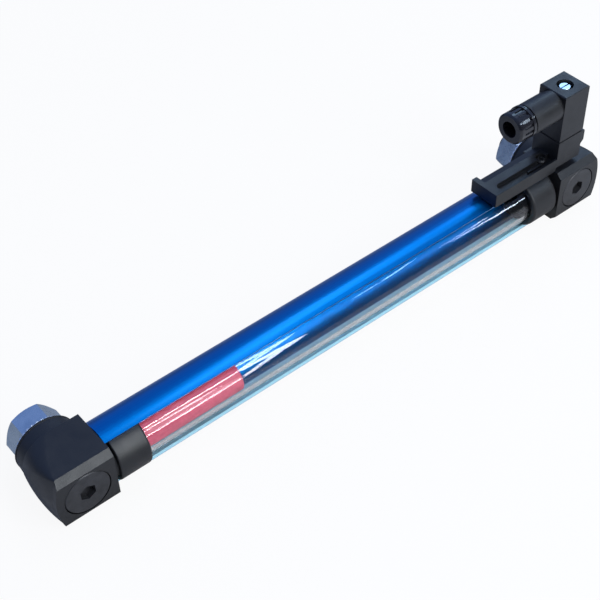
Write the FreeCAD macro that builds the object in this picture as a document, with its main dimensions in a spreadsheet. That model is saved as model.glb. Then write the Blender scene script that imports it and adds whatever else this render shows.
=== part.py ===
import FreeCAD, Part
import os
import re
import Sketcher

# Tube level gauge for an oil tank.
# Two plastic heads, each clamped to the tank wall by a hollow bolt, hold a clear tube with a float.
# A channel of anodised aluminium shields the tube, and a contact unit with a plug sits near the top.
# Row frame, in mm: X to the right seen from the front, Y into the tank, Z up along the tube.
# The origin is on the lower bolt's axis, in the plane of its nut's outer face.

SIZES = [
    ("stud_spacing", 254.0, "between the bolt axes"),
    ("head_wall", 1.0, "head between the bolt's seat and the tube's spigot"),
    ("head_depth", 22.6, "front face to the block's back"),
    ("head_tube_side", 12.2, "bolt axis to the face the tube leaves"),
    ("head_front_reach", 12.7, "bolt axis to the outer end, at the front face"),
    ("head_back_reach", 13.0, "bolt axis to the outer end, at the back"),
    ("head_swell", 1.1, "outer end bulges between front and back"),
    ("head_front_round", 0.4, "corner radius of the end at the front"),
    ("head_front_depth", 2.0, "front part, with sharp corners"),
    ("head_back_round", 11.8, "corner radius of the end at the back"),
    ("head_front_arc", 33.0, "arc of the end at the front"),
    ("head_back_arc", 14.6, "arc of the end at the back"),
    ("front_chamfer", 2.6, "chamfer along the front face's long edges"),
    ("boss_step", 0.1, "round boss in from the block's sides"),
    ("boss_draft", 0.5, "boss narrows towards the tank wall"),
    ("boss_length", 5.6, "boss from the block's back"),
    ("bolt_radius", 5.9, "shank of the hollow bolt, over its thread"),
    ("bolt_head_radius", 9.4, "flat disc head"),
    ("bolt_head_thickness", 3.4, "disc head"),
    ("bolt_edge", 0.4, "bevel of the disc head"),
    ("socket_flats", 6.0, "hexagon socket across flats"),
    ("socket_depth", 2.6, "hexagon socket"),
    ("bolt_bore_radius", 2.5, "oil way along the bolt"),
    ("bolt_bore_start", 7.0, "front face to the closed end of the oil way"),
    ("cross_hole_radius", 2.0, "oil ways across the bolt"),
    ("bolt_free_end", 3.6, "bolt past the nut"),
    ("bolt_tip", 0.8, "bevel at the bolt's end"),
    ("pilot_step", 0.9, "plain end past the nut, in from the thread"),
    ("bolt_clearance", 0.25, "around the bolt in the head"),
    ("fit_clearance", 0.05, "around each piece that fits in another"),
    ("chamber_radius", 7.4, "ring of oil around the bolt"),
    ("chamber_length", 6.0, "ring of oil, along the bolt"),
    ("bolt_seal_thickness", 0.8, "seal under the disc head"),
    ("wall_seal_thickness", 1.2, "rubber ring against the tank wall"),
    ("wall_seal_reach", 0.1, "rubber ring past the boss"),
    ("seal_edge", 0.3, "bevel of the rubber ring"),
    ("washer_radius", 11.7, "washer, outside"),
    ("washer_thickness", 1.2, "washer"),
    ("washer_edge", 0.25, "bevel of the washer"),
    ("nut_flats", 19.0, "nut across flats"),
    ("nut_height", 9.2, "nut"),
    ("nut_bevel", 1.0, "height of the bevel at the nut's corners"),
    ("nut_clearance", 0.1, "between the thread crests"),
    ("nut_turn", 22.0, "corner of a tightened nut, degrees from level"),
    ("spigot_radius", 5.8, "collar's spigot in the head"),
    ("spigot_length", 3.8, "spigot in the head"),
    ("spigot_floor", 0.4, "socket deeper than the spigot"),
    ("neck_radius", 9.4, "collar between spigot and cap"),
    ("neck_length", 1.8, "gap that shows between head and cap"),
    ("collar_wall", 0.95, "cap around the tube's ring"),
    ("collar_end", 27.5, "bolt axis to the cap's inner end"),
    ("collar_edge", 0.4, "bevel of the cap at the head"),
    ("collar_round", 1.0, "rounding of the cap's inner end"),
    ("channel_radius", 2.6, "oil way from head to tube"),
    ("tube_seat", 20.0, "bolt axis to the tube's end"),
    ("tube_radius", 9.0, "clear tube, outside"),
    ("tube_wall", 1.6, "clear tube"),
    ("tube_edge", 0.3, "bevel of the tube's ends"),
    ("ring_thickness", 1.6, "rubber rings of spigot and tube"),
    ("ring_squeeze", 0.2, "how much a groove is shallower than its ring"),
    ("ring_groove_width", 2.0, "grooves of the rubber rings"),
    ("spigot_groove_place", 0.9, "spigot's end to its groove"),
    ("tube_groove_place", 3.0, "tube's end to the groove around it"),
    ("shield_wall", 1.3, "channel"),
    ("shield_clearance", 0.3, "channel off the caps"),
    ("shield_step", 0.1, "channel out past the heads' sides"),
    ("shield_angle", 114.0, "half of the arc, degrees from the back"),
    ("shield_gap", 0.3, "channel's ends to the heads"),
    ("float_clearance", 0.7, "float off the tube's wall"),
    ("float_length", 52.3, "float"),
    ("float_edge", 1.0, "rounding of the float's ends"),
    ("float_rest_gap", 0.3, "float over its lower stop"),
    ("magnet_radius", 3.0, "float's magnet"),
    ("magnet_length", 12.0, "float's magnet"),
    ("float_plug_length", 2.5, "plug over the magnet"),
    ("unit_width", 14.4, "contact unit's bar, block and plug"),
    ("unit_place", 5.0, "upper bolt axis down to the plug's middle"),
    ("bar_end", 48.7, "upper bolt axis to the bar's lower end"),
    ("bar_gap", 0.3, "bar's underside off the channel"),
    ("bar_thickness", 6.3, "bar"),
    ("bar_cap", 2.7, "full corner at the bar's end"),
    ("bar_back_step", 1.2, "bar narrower behind its end"),
    ("bar_slope_start", 2.2, "tube axis to the top of the sloping back"),
    ("bar_slope_drop", 1.4, "height that the back falls"),
    ("recess_inner", 1.9, "tube axis to the recess's back wall"),
    ("recess_rim", 1.0, "wall in front of the recess"),
    ("recess_depth", 2.0, "recess in the bar's top"),
    ("recess_start", 4.2, "bar's end to the recess"),
    ("rib_width", 0.8, "rib in the recess"),
    ("rib_height", 1.2, "rib in the recess"),
    ("rib_length", 9.0, "rib in the recess"),
    ("rib_place", 15.6, "upper bolt axis to the rib's upper end"),
    ("block_gap", 2.1, "block off the head's side"),
    ("block_height", 13.0, "block"),
    ("lip_reach", 1.6, "lip past the block's upper side"),
    ("lip_height", 5.4, "lip, along the block"),
    ("lip_edge", 0.5, "bevel along the lip's top"),
    ("plug_seal_thickness", 0.8, "flat seal under the plug"),
    ("plug_seal_inset", 0.35, "flat seal in from the plug's sides"),
    ("plug_wall", 1.5, "plug housing"),
    ("plug_height", 22.4, "plug"),
    ("plug_roof", 5.4, "plug's top, solid"),
    ("plug_edge", 0.4, "bevel around the plug's top"),
    ("spigot_of_plug_radius", 7.0, "plug's round neck"),
    ("neck_drop", 0.3, "neck under the plug's top"),
    ("neck_reach", 15.4, "neck from the plug's side"),
    ("gland_bore_radius", 5.3, "bore of the neck"),
    ("gland_bore_depth", 11.0, "bore of the neck"),
    ("wire_way_radius", 3.4, "way from neck to terminals"),
    ("screw_well_radius", 3.6, "well for the plug's screw"),
    ("screw_well_depth", 2.6, "well for the plug's screw"),
    ("plug_screw_radius", 1.25, "plug's screw, shank"),
    ("plug_screw_head_radius", 2.8, "plug's screw, head"),
    ("plug_screw_head", 1.8, "plug's screw, head height"),
    ("plug_screw_grip", 7.0, "plug's screw in the block"),
    ("slot_width", 0.7, "screw slots"),
    ("slot_depth", 0.8, "screw slots"),
    ("gland_radius", 6.85, "gland nut over its flutes"),
    ("gland_flange_radius", 7.2, "gland nut's flange"),
    ("gland_flange", 1.4, "gland nut's flange, along its axis"),
    ("gland_length", 8.7, "gland nut outside the neck"),
    ("gland_end", 2.4, "smooth end of the gland nut"),
    ("gland_edge", 0.8, "bevel of the gland nut's end"),
    ("gland_hole_radius", 3.6, "gland nut's hole"),
    ("gland_spigot_length", 5.8, "gland nut from its flange into the neck"),
    ("gland_gap", 0.8, "flange off the neck"),
    ("flute_width", 1.3, "flutes of the gland nut"),
    ("flute_depth", 0.55, "flutes of the gland nut"),
    ("flute_count", 16, "flutes of the gland nut"),
    ("cable_radius", 3.0, "hole of the cable seal"),
    ("cable_seal_length", 5.0, "cable seal"),
    ("gland_washer_thickness", 0.8, "washer on the cable seal"),
    ("blade_thickness", 0.8, "contact blades"),
    ("blade_width", 4.0, "contact blades"),
    ("blade_spacing", 8.0, "between the two live blades"),
    ("earth_blade_place", 4.2, "plug's middle to the earth blade"),
    ("blade_reach", 7.0, "blades over the block"),
    ("insert_height", 9.6, "terminal insert"),
    ("insert_gap", 0.1, "insert in the plug, each side"),
    ("terminal_screw_radius", 0.9, "terminal screws, shank"),
    ("terminal_head_radius", 1.5, "terminal screws, head"),
    ("terminal_head", 1.0, "terminal screws, head height"),
    ("terminal_screw_length", 5.0, "terminal screws, shank"),
    ("terminal_place", 3.6, "plug's middle to the terminal screws, across"),
    ("reed_radius", 1.1, "glass contact"),
    ("reed_length", 14.0, "glass contact"),
    ("reed_place", 22.0, "upper bolt axis to the contact's upper end"),
    ("lead_radius", 0.3, "contact's wires"),
    ("pocket_height", 3.6, "resin pocket over the bar's underside"),
    ("pocket_start", 0.7, "tube axis to the pocket's front wall"),
    ("pocket_width", 3.2, "resin pocket"),
    ("pocket_end", 41.0, "upper bolt axis to the pocket's lower end"),
    ("base_screw_place", 16.0, "upper bolt axis to the bar's screw"),
    ("base_screw_offset", 1.5, "tube axis to the bar's screw"),
    ("base_screw_radius", 1.2, "bar's screw, shank"),
    ("base_screw_head_radius", 2.1, "bar's screw, head"),
    ("base_screw_head", 1.2, "bar's screw, head height"),
    ("base_screw_grip", 3.6, "bar's screw in the collar"),
    ("screw_clearance", 0.15, "around the screws"),
]

# Places worked out from the sizes. Depths count from the heads' front face.
PLACES = {
    "bolt_hole_radius": "bolt_radius + bolt_clearance",
    "bolt_seat": "bolt_head_thickness + bolt_seal_thickness",
    "wall_plane": "head_depth + boss_length + wall_seal_thickness",
    "nut_seat": "wall_plane + washer_thickness",
    "mount_depth": "nut_seat + nut_height",
    "bolt_end": "mount_depth + bolt_free_end",
    "pilot_radius": "bolt_radius - pilot_step",
    "tube_depth": "bolt_seat + head_wall + spigot_radius",
    "tube_y": "tube_depth - mount_depth",
    "spigot_end": "head_tube_side - spigot_length",
    "cap_start": "head_tube_side + neck_length",
    "ring_depth": "ring_thickness - ring_squeeze",
    "tube_bore": "tube_radius - tube_wall",
    "tube_socket": "tube_radius + fit_clearance",
    "float_radius": "tube_bore - float_clearance",
    "float_top": "tube_seat + float_rest_gap + float_length",
    "collar_radius": "tube_socket + ring_depth + collar_wall",
    "shield_bore": "collar_radius + shield_clearance",
    "shield_radius": "shield_bore + shield_wall",
    "shield_end": "head_tube_side + shield_gap",
    "block_side": "shield_radius - shield_step",
    "boss_root_radius": "block_side - boss_step",
    "boss_radius": "boss_root_radius - boss_draft",
    "wall_seal_radius": "boss_radius + wall_seal_reach",
    "bar_under": "shield_radius + bar_gap",
    "bar_top": "bar_under + bar_thickness",
    "half_unit": "unit_width / 2",
    "block_low": "-unit_place - half_unit",
    "block_high": "-unit_place + half_unit",
    "block_underside": "block_side + block_gap",
    "block_top": "block_underside + block_height",
    "plug_base": "block_top + plug_seal_thickness",
    "plug_top": "plug_base + plug_height",
    "cavity_half": "half_unit - plug_wall",
    "neck_height": "plug_top - neck_drop - spigot_of_plug_radius",
    "neck_end": "block_low - neck_reach",
    "shoulder": "neck_end + gland_bore_depth",
    "recess_floor": "bar_top - recess_depth",
    "pocket_top": "bar_under + pocket_height",
    "reed_height": "bar_under + pocket_height / 2",
    "pocket_middle": "pocket_start + pocket_width / 2",
    "insert_half": "cavity_half - insert_gap",
    "insert_top": "plug_base + insert_height",
}

MARGIN = 1.0  # how far a cutting outline reaches past the surface it cuts

doc = FreeCAD.newDocument("tube_level_gauge")
sheet = doc.addObject("Spreadsheet::Sheet", "Sizes")
for row, (alias, value, note) in enumerate(SIZES, 1):
    sheet.set(f"A{row}", alias)
    sheet.set(f"B{row}", str(value))
    sheet.set(f"C{row}", note)
    sheet.setAlias(f"B{row}", alias)
doc.recompute()

ALIASES = {alias for alias, value, note in SIZES}
PARTS = []


def formula(text):
    """A formula for the document: places are written out, and each size is read from the sheet."""

    def word(match):
        name = match.group()
        if name in PLACES:
            return "(" + formula(PLACES[name]) + ")"
        return "Sizes." + name if name in ALIASES else name

    return re.sub("[a-z_]+", word, text)


def number(text):
    """The present value of a formula."""
    return float(sheet.evalExpression(formula(text)))


def bind(thing, prop, text):
    thing.setExpression(prop, formula(text))


# Frames. In a bolt frame Z runs into the tank and Y points away from the tube, at either end.
# In a tube frame Z runs along the tube towards its middle. In the unit frame X runs up the tube,
# Y into the tank and Z outwards from the tube axis.
ABOUT_X = FreeCAD.Vector(1, 0, 0)
ABOUT_Y = FreeCAD.Vector(0, 1, 0)
ABOUT_Z = FreeCAD.Vector(0, 0, 1)
TO_WALL = FreeCAD.Rotation(ABOUT_X, -90)
FRAMES = {
    "lower_bolt": (TO_WALL, "-mount_depth", "0"),
    "upper_bolt": (TO_WALL * FreeCAD.Rotation(ABOUT_Z, 180), "-mount_depth", "stud_spacing"),
    "lower_tube": (FreeCAD.Rotation(), "tube_y", "0"),
    "upper_tube": (FreeCAD.Rotation(ABOUT_Y, 180), "tube_y", "stud_spacing"),
    "unit": (FreeCAD.Rotation(ABOUT_Y, -90), "tube_y", "stud_spacing"),
}


def place(piece, frame):
    """Put a finished piece into the row frame, and list it for writing."""
    rotation, y, z = FRAMES[frame]
    piece.Placement = FreeCAD.Placement(FreeCAD.Vector(), rotation)
    bind(piece, ".Placement.Base.y", y)
    bind(piece, ".Placement.Base.z", z)
    PARTS.append(piece)
    return piece


def new_body(name):
    body = doc.addObject("PartDesign::Body", name)
    body.Label = name
    return body


def new_sketch(body, plane="XY", offset="0"):
    """A sketch on one of the body's own planes, moved along the plane's normal."""
    sketch = body.newObject("Sketcher::SketchObject", body.Name + "_sketch")
    plane = next(p for p in body.Origin.OriginFeatures if p.Role == plane + "_Plane")
    sketch.AttachmentSupport = [(plane, "")]
    sketch.MapMode = "FlatFace"
    bind(sketch, ".AttachmentOffset.Base.z", offset)
    return sketch


def hold(sketch, kind, where, text):
    """Tie one coordinate or radius of a sketch to a formula."""
    index = sketch.addConstraint(Sketcher.Constraint(kind, *where, number(text)))
    name = f"size_{index}"
    sketch.renameConstraint(index, name)
    bind(sketch, "Constraints." + name, text)


def arc_between(start, end, radius):
    """The shorter arc that turns left from start to end."""
    chord = end - start
    left = FreeCAD.Vector(-chord.y, chord.x, 0).normalize()
    rise = max(radius * radius - chord.Length * chord.Length / 4, 0.0)
    centre = (start + end) * 0.5 + left * rise ** 0.5
    first = (start - centre).getAngle(FreeCAD.Vector(1, 0, 0)) * (1 if start.y >= centre.y else -1)
    last = (end - centre).getAngle(FreeCAD.Vector(1, 0, 0)) * (1 if end.y >= centre.y else -1)
    return Part.ArcOfCircle(Part.Circle(centre, FreeCAD.Vector(0, 0, 1), radius), first, last)


def outline(sketch, corners):
    """A closed outline through the corners (x, y). A third entry is the radius of the arc that
    runs to the next corner: the arc turns left, or right where the radius starts with a minus."""
    points = [FreeCAD.Vector(number(c[0]), number(c[1]), 0) for c in corners]
    ends = []
    for i, corner in enumerate(corners):
        start, end = points[i], points[(i + 1) % len(points)]
        if len(corner) < 3:
            geometry = sketch.addGeometry(Part.LineSegment(start, end))
            ends.append((geometry, 1, 2))
            continue
        right = corner[2].startswith("-")
        radius = corner[2].lstrip("-")
        arc = arc_between(end, start, number(radius)) if right else arc_between(start, end, number(radius))
        geometry = sketch.addGeometry(arc)
        ends.append((geometry, 2, 1) if right else (geometry, 1, 2))
    for i, (geometry, first, last) in enumerate(ends):
        after, after_first, after_last = ends[(i + 1) % len(ends)]
        sketch.addConstraint(Sketcher.Constraint("Coincident", geometry, last, after, after_first))
    for (geometry, first, last), corner in zip(ends, corners):
        hold(sketch, "DistanceX", (-1, 1, geometry, first), corner[0])
        hold(sketch, "DistanceY", (-1, 1, geometry, first), corner[1])
        if len(corner) == 3:
            hold(sketch, "Radius", (geometry,), corner[2].lstrip("-"))
    return sketch


def rectangle(sketch, x0, y0, x1, y1):
    return outline(sketch, [(x0, y0), (x1, y0), (x1, y1), (x0, y1)])


def circle(sketch, x, y, radius):
    centre = FreeCAD.Vector(number(x), number(y), 0)
    geometry = sketch.addGeometry(Part.Circle(centre, FreeCAD.Vector(0, 0, 1), number(radius)))
    hold(sketch, "DistanceX", (-1, 1, geometry, 3), x)
    hold(sketch, "DistanceY", (-1, 1, geometry, 3), y)
    hold(sketch, "Radius", (geometry,), radius)
    return sketch


def hexagon(sketch, flats, turned="0"):
    """A hexagon around the origin, with its first corner at this angle from the X axis."""
    corner = f"({flats}) / sqrt(3)"
    return outline(sketch, [
        (f"{corner} * cos({turned} + {step})", f"{corner} * sin({turned} + {step})")
        for step in range(0, 360, 60)
    ])


def feature(body, kind, sketch, length=None, backwards=False, both_ways=False):
    """A pad or pocket of a sketch, or through everything where it has no length."""
    made = body.newObject("PartDesign::" + kind, f"{body.Name}_{kind.lower()}")
    made.Profile = sketch
    made.Reversed = backwards
    if both_ways:
        made.SideType = "Symmetric"
    if length is None:
        made.Type = "ThroughAll"
    else:
        bind(made, "Length", length)
    return made


def pad(body, sketch, length, **way):
    return feature(body, "Pad", sketch, length, **way)


def pocket(body, sketch, length=None, **way):
    return feature(body, "Pocket", sketch, length, **way)


def turn(body, corners, kind="Revolution"):
    """A full turn of an outline about the body's Z axis. Corners are (radius, height)."""
    sketch = outline(new_sketch(body, "XZ"), corners)
    made = body.newObject("PartDesign::" + kind, f"{body.Name}_{kind.lower()}")
    made.Profile = sketch
    made.ReferenceAxis = (sketch, ["V_Axis"])
    made.Angle = 360
    return made


def turned_body(name, corners):
    body = new_body(name)
    turn(body, corners)
    return body


def ring_body(name, inner, outer, low, high, edge="0"):
    """A flat ring, with its outer corners bevelled where an edge is given."""
    corners = [(inner, low), (outer, low), (outer, high), (inner, high)]
    if edge != "0":
        corners[1:3] = [
            (f"{outer} - {edge}", low),
            (outer, f"{low} + {edge}"),
            (outer, f"{high} - {edge}"),
            (f"{outer} - {edge}", high),
        ]
    return turned_body(name, corners)


def head_section(body, way):
    """One section across a head, at this share of the way from its front to its back. It is flat
    towards the tube. Its outer end is a shallow arc that meets the sides in tangent corner arcs."""
    sketch = new_sketch(body, "XY", f"head_front_depth + (head_depth - head_front_depth) * {way}")
    corner = f"(head_front_round + (head_back_round - head_front_round) * {way})"
    arc = f"(head_front_arc + (head_back_arc - head_front_arc) * {way ** 2})"
    reach = f"(head_front_reach + (head_back_reach - head_front_reach) * {way})"
    bulge = f"head_swell * {4 * way * (1 - way)}"
    base = f"({reach} + {bulge} - {arc})"
    inner = f"({arc} - {corner})"
    across = f"(block_side - {corner})"
    rise = f"sqrt({inner} ^ 2 - {across} ^ 2)"
    arc_x = f"({across} * {arc} / {inner})"
    arc_y = f"{base} + {rise} * {arc} / {inner}"
    return outline(sketch, [
        ("-block_side", "-head_tube_side"),
        ("block_side", "-head_tube_side"),
        ("block_side", f"{base} + {rise}", corner),
        (arc_x, arc_y, arc),
        ("-" + arc_x, arc_y, corner),
        ("-block_side", f"{base} + {rise}"),
    ])


def make_head(end):
    """A moulded head: square at the front, with its outer end running out to a round back."""
    head = new_body(end + "_head")
    sections = [head_section(head, way) for way in (0.0, 0.25, 0.5, 0.75, 1.0)]
    pad(head, head_section(head, 0.0), "head_front_depth", backwards=True)
    block = head.newObject("PartDesign::AdditiveLoft", head.Name + "_block")
    block.Profile = sections[0]
    block.Sections = sections[1:]

    chamfers = new_sketch(head, "XZ")
    for sign in ("", "-"):
        outline(chamfers, [
            (f"{sign}(block_side - front_chamfer - {MARGIN})", f"-{MARGIN}"),
            (f"{sign}(block_side + {MARGIN})", f"-{MARGIN}"),
            (f"{sign}(block_side + {MARGIN})", f"front_chamfer + {MARGIN}"),
        ])
    pocket(head, chamfers, both_ways=True)

    turn(head, [
        ("0", "head_depth - boss_length"),
        ("boss_root_radius", "head_depth - boss_length"),
        ("boss_root_radius", "head_depth"),
        ("boss_radius", "head_depth + boss_length"),
        ("0", "head_depth + boss_length"),
    ])
    aside = f"(block_side + {MARGIN})"
    boss_flat = outline(new_sketch(head, "XZ", "head_tube_side"), [
        ("-" + aside, "head_depth - boss_length"),
        (aside, "head_depth - boss_length"),
        (aside, f"head_depth + boss_length + {MARGIN}"),
        ("-" + aside, f"head_depth + boss_length + {MARGIN}"),
    ])
    pocket(head, boss_flat, backwards=True)
    disc_room = "bolt_head_radius + fit_clearance * 4"
    pocket(head, circle(new_sketch(head), "0", "0", disc_room), "bolt_seat", backwards=True)
    pocket(head, circle(new_sketch(head), "0", "0", "bolt_hole_radius"), backwards=True)
    turn(head, [
        ("bolt_radius", "tube_depth - chamber_length / 2"),
        ("chamber_radius", "tube_depth - chamber_length / 2"),
        ("chamber_radius", "tube_depth + chamber_length / 2"),
        ("bolt_radius", "tube_depth + chamber_length / 2"),
    ], "Groove")

    tube_side = new_sketch(head, "XZ", "head_tube_side")
    circle(tube_side, "0", "tube_depth", "spigot_radius + fit_clearance")
    pocket(head, tube_side, "spigot_length + spigot_floor")
    oil_way = new_sketch(head, "XZ", "head_tube_side")
    circle(oil_way, "0", "tube_depth", "channel_radius")
    pocket(head, oil_way, "head_tube_side - bolt_radius")
    place(head, end + "_bolt")


def make_bolt(end):
    """The hollow bolt: a disc head with a hexagon socket, a shank, and oil ways to the tank."""
    bolt = turned_body(end + "_bolt", [
        ("0", "0"),
        ("bolt_head_radius - bolt_edge", "0"),
        ("bolt_head_radius", "bolt_edge"),
        ("bolt_head_radius", "bolt_head_thickness"),
        ("bolt_radius", "bolt_head_thickness"),
        ("bolt_radius", "mount_depth"),
        ("pilot_radius", "mount_depth"),
        ("pilot_radius", "bolt_end - bolt_tip"),
        ("pilot_radius - bolt_tip", "bolt_end"),
        ("bolt_bore_radius", "bolt_end"),
        ("bolt_bore_radius", "bolt_bore_start"),
        ("0", "bolt_bore_start"),
    ])
    pocket(bolt, hexagon(new_sketch(bolt), "socket_flats"), "socket_depth", backwards=True)
    for plane in ("XZ", "YZ"):
        way = circle(new_sketch(bolt, plane), "0", "tube_depth", "cross_hole_radius")
        pocket(bolt, way, both_ways=True)
    place(bolt, end + "_bolt")


def make_clamp(end):
    """Seals, washer and nut on a bolt, from the disc head to the tank side."""
    frame = end + "_bolt"
    inside = "bolt_radius + bolt_clearance"
    seal = ring_body(end + "_bolt_seal", inside, "bolt_head_radius", "bolt_head_thickness", "bolt_seat")
    place(seal, frame)
    seal_start = "head_depth + boss_length"
    seal = ring_body(end + "_wall_seal", inside, "wall_seal_radius", seal_start, "wall_plane", "seal_edge")
    place(seal, frame)
    washer = ring_body(end + "_washer", inside, "washer_radius", "wall_plane", "nut_seat", "washer_edge")
    place(washer, frame)

    nut = new_body(end + "_nut")
    pad(nut, hexagon(new_sketch(nut, "XY", "nut_seat"), "nut_flats", "nut_turn"), "nut_height")
    hole = circle(new_sketch(nut, "XY", "nut_seat"), "0", "0", "bolt_radius + nut_clearance")
    pocket(nut, hole, backwards=True)
    corner = "nut_flats / sqrt(3)"
    flat = "nut_flats / 2"
    turn(nut, [
        (f"{flat} - {MARGIN} / 10", "mount_depth"),
        (f"{corner} + {MARGIN}", "mount_depth"),
        (f"{corner} + {MARGIN}", f"mount_depth - nut_bevel * (1 + {MARGIN} / ({corner} - {flat}))"),
    ], "Groove")
    place(nut, frame)


def make_collar(end):
    """The cap that holds one end of the tube, with a spigot in the head."""
    groove_low = "spigot_end + spigot_groove_place"
    groove_high = groove_low + " + ring_groove_width"
    socket_low = "tube_seat + tube_groove_place"
    socket_high = socket_low + " + ring_groove_width"
    collar = turned_body(end + "_collar", [
        ("channel_radius", "spigot_end"),
        ("spigot_radius", "spigot_end"),
        ("spigot_radius", groove_low),
        ("spigot_radius - ring_depth", groove_low),
        ("spigot_radius - ring_depth", groove_high),
        ("spigot_radius", groove_high),
        ("spigot_radius", "head_tube_side"),
        ("neck_radius", "head_tube_side"),
        ("neck_radius", "cap_start"),
        ("collar_radius - collar_edge", "cap_start"),
        ("collar_radius", "cap_start + collar_edge"),
        ("collar_radius", "collar_end - collar_round", "collar_round"),
        ("collar_radius - collar_round", "collar_end"),
        ("tube_socket", "collar_end"),
        ("tube_socket", socket_high),
        ("tube_socket + ring_depth", socket_high),
        ("tube_socket + ring_depth", socket_low),
        ("tube_socket", socket_low),
        ("tube_socket", "tube_seat"),
        ("channel_radius", "tube_seat"),
    ])
    if end == "upper":
        hole = new_sketch(collar, "YZ", "collar_radius - base_screw_grip - fit_clearance")
        circle(hole, "-base_screw_offset", "base_screw_place", "base_screw_radius + fit_clearance")
        pocket(collar, hole, backwards=True)
    place(collar, end + "_tube")


def make_tube_rings(end):
    """The rubber rings that seal a collar: one on its spigot, one around the tube."""
    spigot_outer = "spigot_radius + fit_clearance"
    spigot_low = "spigot_end + spigot_groove_place"
    ring = ring_body(
        end + "_spigot_seal", "spigot_radius - ring_depth + fit_clearance", spigot_outer,
        spigot_low + " + ring_squeeze", spigot_low + " + ring_squeeze + ring_thickness", "seal_edge",
    )
    place(ring, end + "_tube")
    tube_low = "tube_seat + tube_groove_place"
    ring = ring_body(
        end + "_tube_seal", "tube_radius", "tube_socket + ring_depth - fit_clearance",
        tube_low + " + ring_squeeze", tube_low + " + ring_squeeze + ring_thickness", "seal_edge",
    )
    place(ring, end + "_tube")


def make_tube():
    top = "stud_spacing - tube_seat"
    tube = turned_body("sight_tube", [
        ("tube_bore + tube_edge", "tube_seat"),
        ("tube_radius - tube_edge", "tube_seat"),
        ("tube_radius", "tube_seat + tube_edge"),
        ("tube_radius", f"{top} - tube_edge"),
        ("tube_radius - tube_edge", top),
        ("tube_bore + tube_edge", top),
        ("tube_bore", f"{top} - tube_edge"),
        ("tube_bore", "tube_seat + tube_edge"),
    ])
    place(tube, "lower_tube")


def make_shield():
    """The channel around the tube's back and sides, open towards the front."""
    shield = new_body("shield_profile")
    section = new_sketch(shield, "XY", "shield_end")
    outline(section, [
        ("shield_radius * sin(shield_angle)", "shield_radius * cos(shield_angle)", "shield_radius"),
        ("0", "shield_radius", "shield_radius"),
        ("-shield_radius * sin(shield_angle)", "shield_radius * cos(shield_angle)"),
        ("-shield_bore * sin(shield_angle)", "shield_bore * cos(shield_angle)", "-shield_bore"),
        ("0", "shield_bore", "-shield_bore"),
        ("shield_bore * sin(shield_angle)", "shield_bore * cos(shield_angle)"),
    ])
    pad(shield, section, "stud_spacing - 2 * shield_end")
    hole = new_sketch(shield, "YZ")
    screw_height = "stud_spacing - base_screw_place"
    circle(hole, "-base_screw_offset", screw_height, "base_screw_radius + screw_clearance")
    pocket(shield, hole)
    place(shield, "lower_tube")


def make_float():
    """The float, with a magnet near its top under a plug. It rests near the lower end."""
    low = "tube_seat + float_rest_gap"
    hole = "magnet_radius + fit_clearance"
    magnet_top = "float_top - float_plug_length"
    magnet_low = "float_top - float_plug_length - magnet_length"
    body = turned_body("float_body", [
        ("0", low),
        ("float_radius - float_edge", low, "float_edge"),
        ("float_radius", f"{low} + float_edge"),
        ("float_radius", "float_top - float_edge", "float_edge"),
        ("float_radius - float_edge", "float_top"),
        (hole, "float_top"),
        (hole, magnet_low),
        ("0", magnet_low),
    ])
    place(body, "lower_tube")
    magnet = turned_body("float_magnet", [
        ("0", magnet_low),
        ("magnet_radius", magnet_low),
        ("magnet_radius", magnet_top),
        ("0", magnet_top),
    ])
    place(magnet, "lower_tube")
    plug = turned_body("float_plug", [
        ("0", magnet_top),
        ("magnet_radius", magnet_top),
        ("magnet_radius", "float_top"),
        ("0", "float_top"),
    ])
    place(plug, "lower_tube")


BLADES = [
    ("-unit_place - blade_spacing / 2", "0", "blade_thickness", "blade_width"),
    ("-unit_place + blade_spacing / 2", "0", "blade_thickness", "blade_width"),
    ("-unit_place", "earth_blade_place", "blade_width", "blade_thickness"),
]


def blade_outlines(sketch, clearance):
    """The three blades' sections, each made larger all round by the clearance."""
    for x, y, length, width in BLADES:
        rectangle(
            sketch,
            f"{x} - {length} / 2 - {clearance}", f"{y} - {width} / 2 - {clearance}",
            f"{x} + {length} / 2 + {clearance}", f"{y} + {width} / 2 + {clearance}",
        )
    return sketch


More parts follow.
